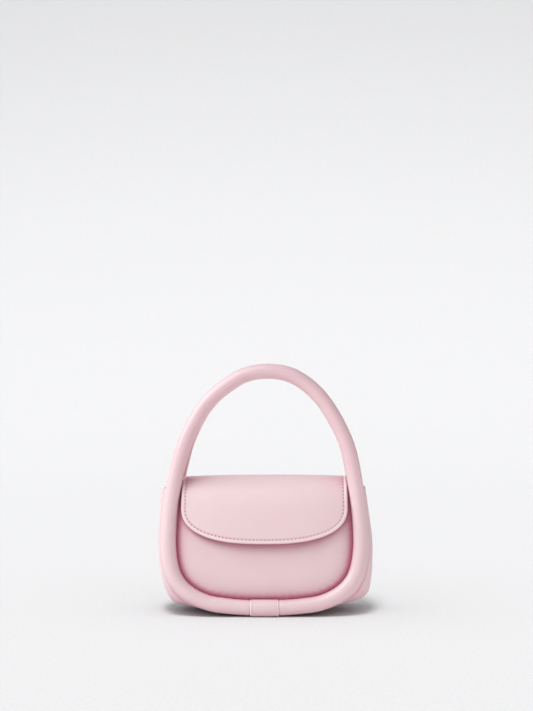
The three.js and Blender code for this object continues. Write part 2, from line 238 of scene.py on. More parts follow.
def plain_finish(name, colour, roughness, metallic=0.0, fibre_mm=1.0, depth_mm=0.1):
    """A matt finish whose colour and surface vary with a fine noise of a real size."""
    material, tree, shader, where = new_material(name)
    shader["Metallic"].default_value = metallic
    fibres = add_node(tree, "ShaderNodeTexNoise", {"Vector": where},
                      {"Scale": 1 / (fibre_mm * MM), "Detail": 4})
    base = np.array(to_linear(colour))
    shade = add_node(tree, "ShaderNodeMix", {0: fibres.outputs["Fac"]},
                     {6: tuple(base * DARK_FIBRE), 7: tuple(np.minimum(base * LIGHT_FIBRE, 1))},
                     data_type="RGBA")
    gloss = add_node(tree, "ShaderNodeMapRange", {"Value": fibres.outputs["Fac"]},
                     {"To Min": roughness - FIBRE_GLOSS_SPREAD, "To Max": roughness + FIBRE_GLOSS_SPREAD})
    bump = add_node(tree, "ShaderNodeBump", {"Height": fibres.outputs["Fac"]},
                    {"Strength": FIBRE_STRENGTH, "Distance": depth_mm * MM})
    tree.links.new(shade.outputs[2], shader["Base Color"])
    tree.links.new(gloss.outputs["Result"], shader["Roughness"])
    tree.links.new(bump.outputs["Normal"], shader["Normal"])
    return material


# Pink suede, deepened as painted shade for the narrow gaps where it shows
flesh_side = plain_finish("suede_flesh_side", "#dc9fae", roughness=0.88, fibre_mm=0.8, depth_mm=0.15)
thread = plain_finish("polyester_thread", "#f2dcdf", roughness=0.6, fibre_mm=0.4, depth_mm=0.08)
# Painted shade: the dark colour of the needle-hole marks
needle_hole_shade = plain_finish("needle_hole_shade", "#ac7380", roughness=0.9, fibre_mm=0.6)
nickel = plain_finish("satin_nickel", "#c9c6c2", roughness=0.34, metallic=1.0, fibre_mm=0.5, depth_mm=0.01)
print("finishes:", flesh_side.name, thread.name, needle_hole_shade.name, nickel.name)

# %% [markdown]
# ## Curves from short tables
# The shape of the bag is in a few tables of points, close to those of the CAD source. A smooth curve runs
# through each: a centripetal Catmull-Rom spline, which doesn't overshoot where the points are unevenly
# spaced. Everything is worked out in millimetres and turned to metres when a mesh is made.

# %% Curve helpers
TANGENT_REACH = 0.8


def catmull_rom(table, closed=False, per_span=40):
    """Dense points on the centripetal Catmull-Rom curve through the table's points."""
    points = np.asarray(table, float)
    if closed:
        padded = np.vstack([points[-1:], points, points[:2]])
    else:
        padded = np.vstack([2 * points[0] - points[1], points, 2 * points[-1] - points[-2]])
    t = np.linspace(0, 1, per_span, endpoint=False)[:, None]
    spans = []
    for p0, p1, p2, p3 in zip(padded, padded[1:], padded[2:], padded[3:]):
        d0, d1, d2 = (math.sqrt(np.linalg.norm(b - a)) for a, b in ((p0, p1), (p1, p2), (p2, p3)))
        slope_1 = ((p1 - p0) / d0 - (p2 - p0) / (d0 + d1) + (p2 - p1) / d1) * d1
        slope_2 = ((p2 - p1) / d1 - (p3 - p1) / (d1 + d2) + (p3 - p2) / d2) * d1
        spans.append((2 * t**3 - 3 * t**2 + 1) * p1 + (t**3 - 2 * t**2 + t) * slope_1
                     + (3 * t**2 - 2 * t**3) * p2 + (t**3 - t**2) * slope_2)
    return np.vstack(spans + ([] if closed else [points[-1:]]))


def run_of(path, closed):
    """The path's points, with the first one again if it is closed, and the length run at each."""
    points = np.vstack([path, path[:1]]) if closed else path
    return points, np.concatenate([[0], np.cumsum(np.linalg.norm(np.diff(points, axis=0), axis=1))])


def at_length(path, closed, distances):
    """Points and unit tangents at distances along a path."""
    points, run = run_of(path, closed)

    def place(d):
        d = np.mod(d, run[-1]) if closed else np.clip(d, 0, run[-1])
        return np.stack([np.interp(d, run, points[:, k]) for k in range(points.shape[1])], axis=1)

    distances = np.asarray(distances, float)
    ahead = place(distances + TANGENT_REACH) - place(distances - TANGENT_REACH)
    return place(distances), ahead / np.linalg.norm(ahead, axis=1, keepdims=True)


def smooth(low, high, value):
    """0 below low, 1 above high, and a soft step between them."""
    share = np.clip((np.asarray(value, float) - low) / (high - low), 0, 1)
    return share * share * (3 - 2 * share)


def ridge(value, at, width):
    """1 where the value is at a place, fading out to both sides of it."""
    return np.exp(-((value - at) / width) ** 2)


# %% [markdown]
# ## The frame loop
# One closed loop in the XZ plane is the centreline of both tubes: a shallow base, round corners, legs
# that lean in, and the arch of the handle. The loops stand 64 mm apart at the base and touch at the top.

# %% Frame loop
FRAME_LOOP = [(0, 7.5), (33, 9.2), (54, 13), (72.5, 23.3), (83, 37.3), (87.7, 60), (87, 88), (84, 115.5),
              (76.4, 151), (67, 173.3), (53.8, 194.2), (38, 209.2), (20.6, 219.3), (0, 222.7)]
TUBE_RADIUS = 7
BASE_Z = FRAME_LOOP[0][1]
TOP_Z = FRAME_LOOP[-1][1]
FRAME_BASE_Y = 32
FRAME_TOP_Y = 7.15
HANDLE_SKEW = 2.1
SKEW_FROM_Z = 180
HANDLE_LEAN = 0.9
LEAN_FROM_Z = 112
LEAN_TO_Z = 150
LOOP_SAMPLES = 900

mirrored_half = [(-x, z) for x, z in FRAME_LOOP[-2:0:-1]]
loop_path = catmull_rom(FRAME_LOOP + mirrored_half, closed=True)
loop_length = run_of(loop_path, True)[1][-1]


def frame_depth(z):
    """How far a tube's centreline lies from the bag's middle plane at a height."""
    return np.interp(z, (BASE_Z, TOP_Z), (FRAME_BASE_Y, FRAME_TOP_Y))


def loop_offset(distances, outwards):
    """Points of the loop moved out along its own normal, in its XZ plane."""
    points, tangents = at_length(loop_path, True, distances)
    return points + np.stack([tangents[:, 1], -tangents[:, 0]], axis=1) * outwards


def distance_to_loop(x, z):
    """Shortest way in the XZ plane from each point to the loop."""
    near = at_length(loop_path, True, np.linspace(0, loop_length, LOOP_SAMPLES))[0]
    gaps = np.stack([np.ravel(x), np.ravel(z)], axis=1)[:, None, :] - near[None, :, :]
    return np.sqrt((gaps**2).sum(axis=2)).min(axis=1).reshape(np.shape(x))


def handle_shift(z):
    """The handle of the bag in the picture is pushed a little to the right."""
    return HANDLE_LEAN * smooth(LEAN_FROM_Z, LEAN_TO_Z, z) + HANDLE_SKEW * smooth(SKEW_FROM_Z, TOP_Z, z)


print(f"loop {loop_length:.0f} mm round")

# %% [markdown]
# ## Meshes from rings
# Most pieces are a row of rings of points with faces between neighbours, as a boat is planked over its
# ribs. One function skins the rings and makes the object, with its seam and rim numbers.

# %% Ring skinning
def new_piece(name, points_mm, faces, materials, slots=None, **numbers):
    """A smooth-shaded mesh object from points in millimetres, with a float attribute for each number."""
    mesh = bpy.data.meshes.new(name)
    mesh.from_pydata((np.asarray(points_mm) * MM).tolist(), [], faces)
    for material in materials:
        mesh.materials.append(material)
    if slots is not None:
        mesh.polygons.foreach_set("material_index", slots)
    for key, value in numbers.items():
        attribute = mesh.attributes.new(key, "FLOAT", "POINT")
        attribute.data.foreach_set("value", np.ravel(value).astype(np.float32))
    mesh.shade_smooth()
    mesh.update()
    return add_object(name, mesh)


def ring_faces(rings, around, loop_rings=False, loop_around=True):
    """Quads between neighbouring rings, which are numbered one after another."""
    faces = []
    for i in range(rings if loop_rings else rings - 1):
        k = (i + 1) % rings
        for j in range(around if loop_around else around - 1):
            n = (j + 1) % around
            faces.append((i * around + j, i * around + n, k * around + n, k * around + j))
    return faces


def end_faces(rings, around):
    """One face over the first ring and one over the last."""
    last = (rings - 1) * around
    return [tuple(range(around))[::-1], tuple(range(last, last + around))]


def corner_places(mesh):
    """The mesh's vertices as an array of points, in metres."""
    places = np.empty(len(mesh.vertices) * 3)
    mesh.vertices.foreach_get("co", places)
    return places.reshape(-1, 3)


def face_outwards(piece):
    """Turn the faces of a closed piece so that they point out of it."""
    mesh = piece.data
    mesh.calc_loop_triangles()
    corners = np.empty(len(mesh.loop_triangles) * 3, int)
    mesh.loop_triangles.foreach_get("vertices", corners)
    a, b, c = corner_places(mesh)[corners.reshape(-1, 3)].transpose(1, 0, 2)
    if np.einsum("ij,ij->i", a, np.cross(b, c)).sum() < 0:
        mesh.flip_normals()
    return piece


# %% [markdown]
# ## The padded tubes
# Each tube is a sleeve of leather pulled over a soft cord. Its shape follows one rule, a circle carried
# along the loop, so Geometry Nodes make it: the loop becomes a curve, each point has its own padding
# radius, and a circle is swept along. The padding is never quite even, so the radius wanders by a tenth
# of a millimetre, and it is skived thin under the keeper, where the two ends meet. The `seam` number
# paints shade, as a deeper pink, where a tube is tucked against its panel, on the handle, and between the
# two tubes.

# %% Tube tree
def tube_tree():
    """A Geometry Nodes tree that sweeps a circle along a closed chain of edges."""
    tree, given = new_tree("padded_tube", {"Rings": "Int", "Sides": "Int", "Leather": "Material"})
    curve = add_node(tree, "GeometryNodeMeshToCurve", {"Mesh": given["Geometry"]})
    even = add_node(tree, "GeometryNodeResampleCurve", {"Curve": curve.outputs[0], "Count": given["Rings"]})
    padding = add_node(tree, "GeometryNodeInputNamedAttribute", values={"Name": "padding"},
                       data_type="FLOAT")
    circle = add_node(tree, "GeometryNodeCurvePrimitiveCircle",
                      {"Resolution": given["Sides"]}, {"Radius": 1.0})
    sweep = add_node(tree, "GeometryNodeCurveToMesh",
                     {"Curve": even.outputs[0], "Profile Curve": circle.outputs[0],
                      "Scale": padding.outputs[0]})
    soft = add_node(tree, "GeometryNodeSetShadeSmooth", {"Geometry": sweep.outputs[0]})
    real = add_node(tree, "GeometryNodeRealizeInstances", {"Geometry": soft.outputs[0]})
    dressed = add_node(tree, "GeometryNodeSetMaterial",
                       {"Geometry": real.outputs[0], "Material": given["Leather"]})
    add_node(tree, "NodeGroupOutput", {"Geometry": dressed.outputs[0]})
    return tree


def run_tree(piece, tree, **inputs):
    """Give the piece the tree with its inputs set by identifier, and keep the result as a plain mesh."""
    modifier = piece.modifiers.new(tree.name, "NODES")
    modifier.node_group = tree
    for item in tree.interface.items_tree:
        if item.in_out == "INPUT" and item.name in inputs:
            modifier[item.identifier] = inputs[item.name]
    result = piece.evaluated_get(bpy.context.evaluated_depsgraph_get())
    mesh = bpy.data.meshes.new_from_object(result)
    piece.modifiers.clear()
    guide = piece.data
    piece.data = mesh
    bpy.data.meshes.remove(guide)
    mesh.name = piece.name
    return piece


sweep_tube = tube_tree()
print("tree:", sweep_tube.name)

# %% Tubes
KEEPER_WIDTH = 25.7
WAIST_RADIUS = 6.3
WAIST_FADE = 0.6
PATH_POINTS = 640
TUBE_RINGS = 520
TUBE_SIDES = 36
# Depth of each wave, how many go round the loop, and the shift between the two tubes
PADDING_WAVES = [(0.06, 9, 1), (0.05, 23, 2)]
# Painted shade on the tubes, as a deeper pink: tucked beside the panel, on the handle, and on each tube's
# side towards the other
TUCK_FROM = 0.87
TUCK_PAINTED_SHADE = 0.24
TUCK_ENDS_Z = (118, 130)
HANDLE_PAINTED_SHADE = 0.11
HANDLE_FROM_Z = (108, 145)
TWIN_PAINTED_SHADE = 0.5
TWIN_SIDE = (0.25, 0.75)
TWINS_PART_Z = (90, 105)
TWINS_MEET_Z = (170, 205)
BODY_MIDDLE_Z = 65
STEP_TO_MIDDLE = 0.97


def padded_tube(name, side):
    """The tube of one frame: side is -1 for the front and 1 for the back."""
    distances = np.linspace(0, loop_length, PATH_POINTS, endpoint=False)
    points = at_length(loop_path, True, distances)[0]
    z = points[:, 1]
    x = points[:, 0] + handle_shift(z)
    turn = 2 * math.pi * distances / loop_length
    wander = sum(depth * np.sin(waves * turn + shift * side) for depth, waves, shift in PADDING_WAVES)
    past_keeper = smooth(KEEPER_WIDTH / 2, KEEPER_WIDTH / 2 + WAIST_FADE, np.abs(points[:, 0]))
    past_waist = np.where(z > TOP_Z / 2, 1, past_keeper)
    padding = (WAIST_RADIUS + (TUBE_RADIUS - WAIST_RADIUS) * past_waist + wander) * MM
    chain = [(i, (i + 1) % PATH_POINTS) for i in range(PATH_POINTS)]
    mesh = bpy.data.meshes.new(name)
    mesh.from_pydata(np.stack([x * MM, side * frame_depth(z) * MM, z * MM], axis=1).tolist(), chain, [])
    mesh.attributes.new("padding", "FLOAT", "POINT").data.foreach_set("value", padding.astype(np.float32))
    return run_tree(add_object(name, mesh), sweep_tube, Rings=TUBE_RINGS, Sides=TUBE_SIDES,
                    Leather=tube_leather)


def paint_tube_shade(tube):
    """Paint shade into the tube's seam number: beside the panel, on the handle and on the side towards its
    twin.
    """
    x, y, z = corner_places(tube.data).T / MM
    from_loop = distance_to_loop(x - handle_shift(z), z)
    nearer_middle = distance_to_loop(STEP_TO_MIDDLE * x,
                                     BODY_MIDDLE_Z + STEP_TO_MIDDLE * (z - BODY_MIDDLE_Z))
    tucked = (nearer_middle > from_loop) * smooth(TUCK_FROM * TUBE_RADIUS, TUBE_RADIUS, from_loop)
    to_twin = smooth(*TWIN_SIDE, (frame_depth(z) - np.abs(y)) / TUBE_RADIUS)
    # Painted shade: deeper pink beside the panel, over the handle and towards the other tube
    tint = (TUCK_PAINTED_SHADE * tucked * (1 - smooth(*TUCK_ENDS_Z, z)) + HANDLE_PAINTED_SHADE * smooth(*HANDLE_FROM_Z, z)
            + TWIN_PAINTED_SHADE * to_twin * smooth(*TWINS_PART_Z, z) * (1 - smooth(*TWINS_MEET_Z, z)))
    seam = tube.data.attributes.new("seam", "FLOAT", "POINT")
    seam.data.foreach_set("value", tint.astype(np.float32))


tubes = {"front": padded_tube("front_padded_tube", -1), "rear": padded_tube("rear_padded_tube", 1)}
for place, tube in tubes.items():
    face_outwards(tube)
    paint_tube_shade(tube)
    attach(tube, "root")
    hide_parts(f"{place}_frame_tube")
    print(tube.name, len(tube.data.polygons), "faces")

# %% [markdown]
# ## The panels
# A panel is one sheet of leather sewn in behind its tube. The stuffing of the bag pushes it forwards, so
# it rises steeply beside the tube and is nearly flat in the middle, like a pillow. Its rings are copies
# of its outline, shrunk towards the middle. Thread tension puckers the seam a little, and `rim` paints
# shade, as a rosy pink, on the narrow strip beside the tube.

# %% Panels
PANEL_INSET = 4.2
PANEL_FLANGE = 2
PANEL_FLANGE_SLOPE = 0.9
PANEL_EDGE_BACK = 3.6
PANEL_SWELL = 6.6
PANEL_SWELL_WIDTH = 20
PANEL_CROWN = 2
PANEL_CROWN_Z = 60
PANEL_TOP_Z = 114
PANEL_MOUTH_FALL = 5
PANEL_MOUTH_FALL_HEIGHT = 34
PANEL_WALL = 1.6
# Painted shade beside the tube: its strength and how far it fades into the panel
PANEL_PAINTED_SHADE = 0.4
PANEL_PAINTED_SHADE_MM = 2.5
PUCKER_MM = 8
PUCKER_DEPTH = 0.1
PUCKER_AT = 4
PUCKER_WIDTH = 4
SEARCH_STEPS = 2000
SEWN_STEPS = 600
MOUTH_STEPS = 200
PANEL_AROUND = 300
PANEL_RINGS = np.sin(np.linspace(0.02, 1, 40) * math.pi / 2)


def panel_face(x, z):
    """How far a panel's outer face lies from the bag's middle plane, and from the flange inwards."""
    past_flange = distance_to_loop(x, z) - PANEL_INSET - PANEL_FLANGE
    flange = PANEL_FLANGE_SLOPE * np.maximum(0, -past_flange)
    inwards = np.clip(past_flange / PANEL_SWELL_WIDTH, 0, 1)
    fall = PANEL_MOUTH_FALL * smooth(PANEL_TOP_Z - PANEL_MOUTH_FALL_HEIGHT, PANEL_TOP_Z, z)
    swell = (PANEL_SWELL - fall) * np.sqrt(1 - (1 - inwards) ** 2)
    across_x = np.maximum(0, 1 - (x / FRAME_LOOP[5][0]) ** 2)
    across_z = np.maximum(0, 1 - ((z - PANEL_CROWN_Z) / (PANEL_TOP_Z - PANEL_CROWN_Z)) ** 2)
    crown = PANEL_CROWN * across_x * across_z
    return frame_depth(z) - PANEL_EDGE_BACK - flange + swell + crown, past_flange


def panel_outline():
    """Along the inside of the tube, then straight across the mouth, evenly spaced."""
    up = np.linspace(0, loop_length / 2, SEARCH_STEPS)
    top = np.interp(PANEL_TOP_Z, at_length(loop_path, True, up)[0][:, 1], up)
    sewn = loop_offset(np.linspace(-top, top, SEWN_STEPS), -PANEL_INSET)
    mouth = np.linspace(sewn[-1], sewn[0], MOUTH_STEPS)[1:-1]
    outline = np.vstack([sewn, mouth])
    length = run_of(outline, True)[1][-1]
    return at_length(outline, True, np.linspace(0, length, PANEL_AROUND, endpoint=False))[0], length


def pillow_panel(name, side):
    """A panel's outer face and, a wall's thickness behind it, its flesh side."""
    outline, length = panel_outline()
    centre = np.array([0, PANEL_CROWN_Z])
    flat = centre + PANEL_RINGS[:, None, None] * (outline - centre)
    face, past_flange = panel_face(flat[..., 0], flat[..., 1])
    round_edge = np.arange(PANEL_AROUND) / PANEL_AROUND * 2 * math.pi * round(length / PUCKER_MM)
    face = face + PUCKER_DEPTH * np.sin(round_edge)[None, :] * ridge(past_flange, PUCKER_AT, PUCKER_WIDTH)
    outer = np.stack([flat[..., 0], side * face, flat[..., 1]], axis=2)
    inner = np.stack([flat[..., 0], side * (face - PANEL_WALL), flat[..., 1]], axis=2)[::-1]
    rings = np.concatenate([outer, inner])
    faces = ring_faces(len(rings), PANEL_AROUND) + end_faces(len(rings), PANEL_AROUND)
    leather_faces = (len(outer) - 1) * PANEL_AROUND
    slots = [0] * leather_faces + [1] * (len(faces) - leather_faces)
    slots[-2] = 0
    # Painted shade: rosy pink fading out from the tube into the panel
    rim = PANEL_PAINTED_SHADE * np.exp(-np.maximum(past_flange, 0) / PANEL_PAINTED_SHADE_MM)
    return face_outwards(new_piece(name, rings.reshape(-1, 3), faces, [panel_leather, flesh_side], slots,
                                   rim=np.concatenate([rim, 0 * rim])))


for place, side in (("front", -1), ("rear", 1)):
    panel = pillow_panel(f"{place}_pillow_panel", side)
    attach(panel, "root")
    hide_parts(f"{place}_panel")
    print(panel.name, len(panel.data.polygons), "faces")

# %% [markdown]
# ## The gusset
# The gusset is one long strip from shoulder to shoulder under the base. At both edges it is sewn to a
# tube with a narrow welt, which shows as a fine double line beside the tube. Half way between the tubes
# it bulges out, most at the lower corners, where the bag is boxy. Both ends are turned in as a hem, which
# is thicker and shows a pale edge at the shoulder. The table gives its middle line, x and z, and the share
# of half the loop at which that place is sewn to the tubes.

# %% Gusset
GUSSET_RIGHT = [(93.4, 114.5, 0.533), (96.4, 93, 0.466), (99.7, 66, 0.385), (99.7, 45, 0.312),
                (98.2, 28.4, 0.277), (95.8, 17.5, 0.243), (91, 12.7, 0.228), (80, 9.2, 0.203),
                (58, 4, 0.154), (30, 1.8, 0.09)]
GUSSET_BASE = [(0, 1.6, 0)]
GUSSET_LEFT = [(-30, 1.8, -0.09), (-58, 3.4, -0.154), (-79, 6.4, -0.203), (-86.8, 9.2, -0.219),
               (-91.2, 15.2, -0.24), (-96, 27.6, -0.277), (-99.2, 45, -0.312), (-99.9, 66, -0.385),
               (-98.6, 93, -0.466), (-96.4, 114.5, -0.533)]
GUSSET_TOP_Z = 114.5
HEM_HEIGHT = 8
HEM_FADE = 2
HEM_WALL = 2.6
HEM_RIM = 0.9
HEM_STEPS = np.array([0, 0.3, 0.8])
EVEN_STEPS_FROM = 2
GUSSET_WALL = 1.8
GUSSET_EDGE_WALL = 0.2
GUSSET_SKIVE = 0.5
GUSSET_SEAM_RADIUS = 7.3
GUSSET_SEAM_TURN = 24
GUSSET_SEAM_TURN_BY_KEEPER = 47
KEEPER_SIDE = (KEEPER_WIDTH / 2 + 1, KEEPER_WIDTH / 2 + 14)
GUSSET_BULGE_POWER = 2.3
GUSSET_STATIONS = 260
WELT_AT = 1.5
WELT_HEIGHT = 0.85
WELT_WIDTH = 0.8
GROOVE_AT = 3.3
GROOVE_DEPTH = 0.6
# Painted shade: a deeper pink in the welt's groove
GROOVE_PAINTED_SHADE = 0.5
GROOVE_PAINTED_SHADE_WIDTH = 1.2
FROM_SEAM = np.array([0, 0.4, 0.8, 1.2, 1.6, 2, 2.4, 2.8, 3.2, 3.6, 4, 4.5, 5.2, 6.2, 7.6])
GUSSET_INSIDE = 15


def gusset_strip(name):
    """The strip, as closed sections from one shoulder to the other."""
    table = np.array(GUSSET_RIGHT + GUSSET_BASE + GUSSET_LEFT)
    middle_path = catmull_rom(table[:, :2], per_span=60)
    rows = np.linspace(0, len(table) - 1, len(middle_path))
    seam_share = np.interp(rows, np.arange(len(table)), table[:, 2])
    length = run_of(middle_path, False)[1]
    even_steps = GUSSET_STATIONS - 2 * len(HEM_STEPS)
    between = np.linspace(EVEN_STEPS_FROM, length[-1] - EVEN_STEPS_FROM, even_steps)
    places = np.concatenate([HEM_STEPS, between, length[-1] - HEM_STEPS[::-1]])
    hem = 1 - smooth(HEM_HEIGHT - HEM_FADE, HEM_HEIGHT, np.minimum(places, length[-1] - places))
    middle, along = at_length(middle_path, False, places)
    seam_at = np.interp(places, length, seam_share) * loop_length / 2
    beside = at_length(loop_path, True, seam_at)[0]
    clear = np.maximum(smooth(*KEEPER_SIDE, np.abs(beside[:, 0])), beside[:, 1] > TOP_Z / 4)
    turn = np.radians(GUSSET_SEAM_TURN_BY_KEEPER + (GUSSET_SEAM_TURN - GUSSET_SEAM_TURN_BY_KEEPER) * clear)
    seam = loop_offset(seam_at, (GUSSET_SEAM_RADIUS * np.cos(turn))[:, None])
    half_depth = frame_depth(beside[:, 1]) - GUSSET_SEAM_RADIUS * np.sin(turn)
    inwards = np.stack([along[:, 1], -along[:, 0]], axis=1)
    sections, seams, rims = [], [], []
    for i in range(GUSSET_STATIONS):
        reach = half_depth[i] - FROM_SEAM[-1]
        inside = np.linspace(reach, -reach, GUSSET_INSIDE)[1:-1]
        y = np.concatenate([half_depth[i] - FROM_SEAM, inside, FROM_SEAM[::-1] - half_depth[i]])
        bulge = 1 - np.abs(y / half_depth[i]) ** GUSSET_BULGE_POWER
        from_seam = half_depth[i] - np.abs(y)
        relief = (WELT_HEIGHT * ridge(from_seam, WELT_AT, WELT_WIDTH)
                  - GROOVE_DEPTH * ridge(from_seam, GROOVE_AT, WELT_WIDTH))
        wall = np.minimum(GUSSET_WALL + HEM_WALL * hem[i], GUSSET_EDGE_WALL + GUSSET_SKIVE * from_seam)
        skin = seam[i] + bulge[:, None] * (middle[i] - seam[i])
        outer = skin - relief[:, None] * inwards[i]
        inner = skin + wall[:, None] * inwards[i]
        is_end = i in (0, GUSSET_STATIONS - 1)
        if is_end:
            outer[:, 1] = inner[:, 1] = GUSSET_TOP_Z
        section = np.concatenate([np.insert(outer, 1, y, axis=1), np.insert(inner, 1, y, axis=1)[::-1]])
        section[:, 2] = np.minimum(section[:, 2], GUSSET_TOP_Z)
        sections.append(section)
        # Painted shade along the groove beside the welt
        seams.append(np.concatenate([GROOVE_PAINTED_SHADE * ridge(from_seam, GROOVE_AT, GROOVE_PAINTED_SHADE_WIDTH), 0 * y]))
        rims.append(np.full(2 * len(y), HEM_RIM * is_end))
    count = len(sections[0]) // 2
    faces = ring_faces(GUSSET_STATIONS, 2 * count)
    slots = [int(count <= j < 2 * count - 1) for _ in range(GUSSET_STATIONS - 1) for j in range(2 * count)]
    last = (GUSSET_STATIONS - 1) * 2 * count
    for j in range(count - 1):
        faces.append((j, 2 * count - 1 - j, 2 * count - 2 - j, j + 1))
        faces.append((last + j, last + j + 1, last + 2 * count - 2 - j, last + 2 * count - 1 - j))
        slots += [0, 0]
    return face_outwards(new_piece(name, np.vstack(sections), faces, [gusset_leather, flesh_side], slots,
                                   seam=seams, rim=rims))


gusset = gusset_strip("leather_gusset")
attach(gusset, "root")
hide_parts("gusset")
print(gusset.name, len(gusset.data.polygons), "faces")

# %% [markdown]
# ## The flap
# The flap is two layers of leather, glued and stitched 3.6 mm from a painted, rounded edge. It is cut
# as a flat shape, x across and `along` from its end on the back panel, and laid over a profile in the
# bag's middle plane, falling away a little towards its sides: the table gives the profile's y and z and
# the fall at the side. Rings at fixed distances from the cut edge make the edge round and press the stitch
# line into the leather.

# %% Flap surface
FLAP_PROFILE = [(26.4, 96, 0.8), (24.8, 104, 0.8), (22.9, 111, 0.9), (19.2, 117.6, 1.2), (11.2, 123.6, 1.5),
                (0, 126, 1.5), (-8, 125.2, 1.5), (-15, 121.8, 1.7), (-21.5, 116, 2.2), (-27, 107, 3),
                (-31.3, 95, 4), (-34.6, 80, 4.4), (-36.7, 66.3, 4.4)]
FLAP_WALL = 2.2
FLAP_HALF_WIDTH = 76.2
FLAP_RIDGE_HALF_WIDTH = 76
FLAP_WAIST_FROM_EDGE = 74
FLAP_CORNER_HEIGHT = 35.2
FLAP_CORNER_POWER = 2.55
FLAP_BACK_CORNER = 12
FLAP_DROP_POWER = 3

flap_path = catmull_rom([row[:2] for row in FLAP_PROFILE])
flap_run = run_of(flap_path, False)[1]
flap_length = flap_run[-1]
flap_drops = np.interp(np.linspace(0, len(FLAP_PROFILE) - 1, len(flap_path)), range(len(FLAP_PROFILE)),
                       [row[2] for row in FLAP_PROFILE])


def flap_half_width(along):
    """Half of the flap's width at a distance from its back end."""
    waist = smooth(FLAP_CORNER_HEIGHT, FLAP_WAIST_FROM_EDGE, flap_length - along)
    return FLAP_HALF_WIDTH + (FLAP_RIDGE_HALF_WIDTH - FLAP_HALF_WIDTH) * waist


def flap_surface(x, along, height):
    """Points on the laid flap, height above its outer face, and the face's outward normals."""
    shape = np.shape(x)
    place, ahead = at_length(flap_path, False, np.ravel(along))
    drop = np.interp(np.ravel(along), flap_run, flap_drops)
    across = np.abs(np.ravel(x)) / flap_half_width(np.ravel(along))
    rise = np.ravel(height) - drop * across**FLAP_DROP_POWER
    normal = np.stack([np.zeros(len(ahead)), ahead[:, 1], -ahead[:, 0]], axis=1)
    points = np.stack([np.ravel(x), place[:, 0], place[:, 1]], axis=1) + rise[:, None] * normal
    return points.reshape(*shape, 3), normal.reshape(*shape, 3)


print(f"flap {flap_length:.0f} mm long")

# %% Flap outline
FLAP_AROUND = 420
FLAP_END_STEPS = 801
FLAP_SIDE_STEPS = 300
TANGENT_SMOOTHING = 6


def flap_outline():
    """The cut edge in the flat, evenly spaced, with its inward normals."""
    across = np.sin(np.linspace(-1, 1, FLAP_END_STEPS) * math.pi / 2)
    rounding = (1 - np.abs(across) ** FLAP_CORNER_POWER) ** (1 / FLAP_CORNER_POWER)
    front = flap_length - FLAP_CORNER_HEIGHT * (1 - rounding)
    past_corner = np.maximum(0, np.abs(across) * FLAP_HALF_WIDTH - FLAP_HALF_WIDTH + FLAP_BACK_CORNER)
    back = FLAP_BACK_CORNER - np.sqrt(FLAP_BACK_CORNER**2 - past_corner**2)
    side = np.linspace(back[-1], front[-1], FLAP_SIDE_STEPS)[1:-1]
    edge = np.vstack([np.stack([across * flap_half_width(back), back], axis=1),
                      np.stack([flap_half_width(side), side], axis=1),
                      np.stack([across * flap_half_width(front), front], axis=1)[::-1],
                      np.stack([-flap_half_width(side), side], axis=1)[::-1]])
    length = run_of(edge, True)[1][-1]
    points, tangents = at_length(edge, True, np.linspace(0, length, FLAP_AROUND, endpoint=False))
    for _ in range(TANGENT_SMOOTHING):
        tangents = (np.roll(tangents, 1, axis=0) + 2 * tangents + np.roll(tangents, -1, axis=0)) / 4
    tangents /= np.linalg.norm(tangents, axis=1, keepdims=True)
    return points, np.stack([-tangents[:, 1], tangents[:, 0]], axis=1), length


flap_edge, flap_inwards, flap_edge_length = flap_outline()
print(f"cut edge {flap_edge_length:.0f} mm round")

# %% Flap
STITCH_INSET = 3.6
BEAD_AT = 1.5
BEAD_HEIGHT = 0.35
BEAD_WIDTH = 1.1
BEAD_OVER_EDGE = 0.8
STITCH_GROOVE = 0.25
STITCH_GROOVE_WIDTH = 0.6
# Painted shade: a deeper pink along the stitch groove
STITCH_PAINTED_SHADE = 0.5
STITCH_PAINTED_SHADE_WIDTH = 0.7
FLAP_RIM = 0.8
RIM_FADES = (STITCH_INSET - 1.2, STITCH_INSET - 0.2)
EDGE_STEPS = np.array([1.1, 1.4, 1.8, 2.2, 2.6, 3, 3.3, 3.6, 3.9, 4.2, 4.7, 5.5, 6.8, 8.5])
INNER_SHARES = np.linspace(1, 0.02, 40)[1:]
ROUND_STEPS = np.radians(np.linspace(75, -75, 7))
# What stands for the distance from the cut edge on the flap's middle and on its inner face
MIDDLE_OF_FLAP = 18.5
UNDER_FLAP = -1


def flap_relief(inset):
    """Height of the outer face by distance from the cut edge: a rolled bead, then the stitch groove."""
    return (BEAD_HEIGHT * ridge(inset, BEAD_AT, BEAD_WIDTH)
            - STITCH_GROOVE * ridge(inset, STITCH_INSET, STITCH_GROOVE_WIDTH))


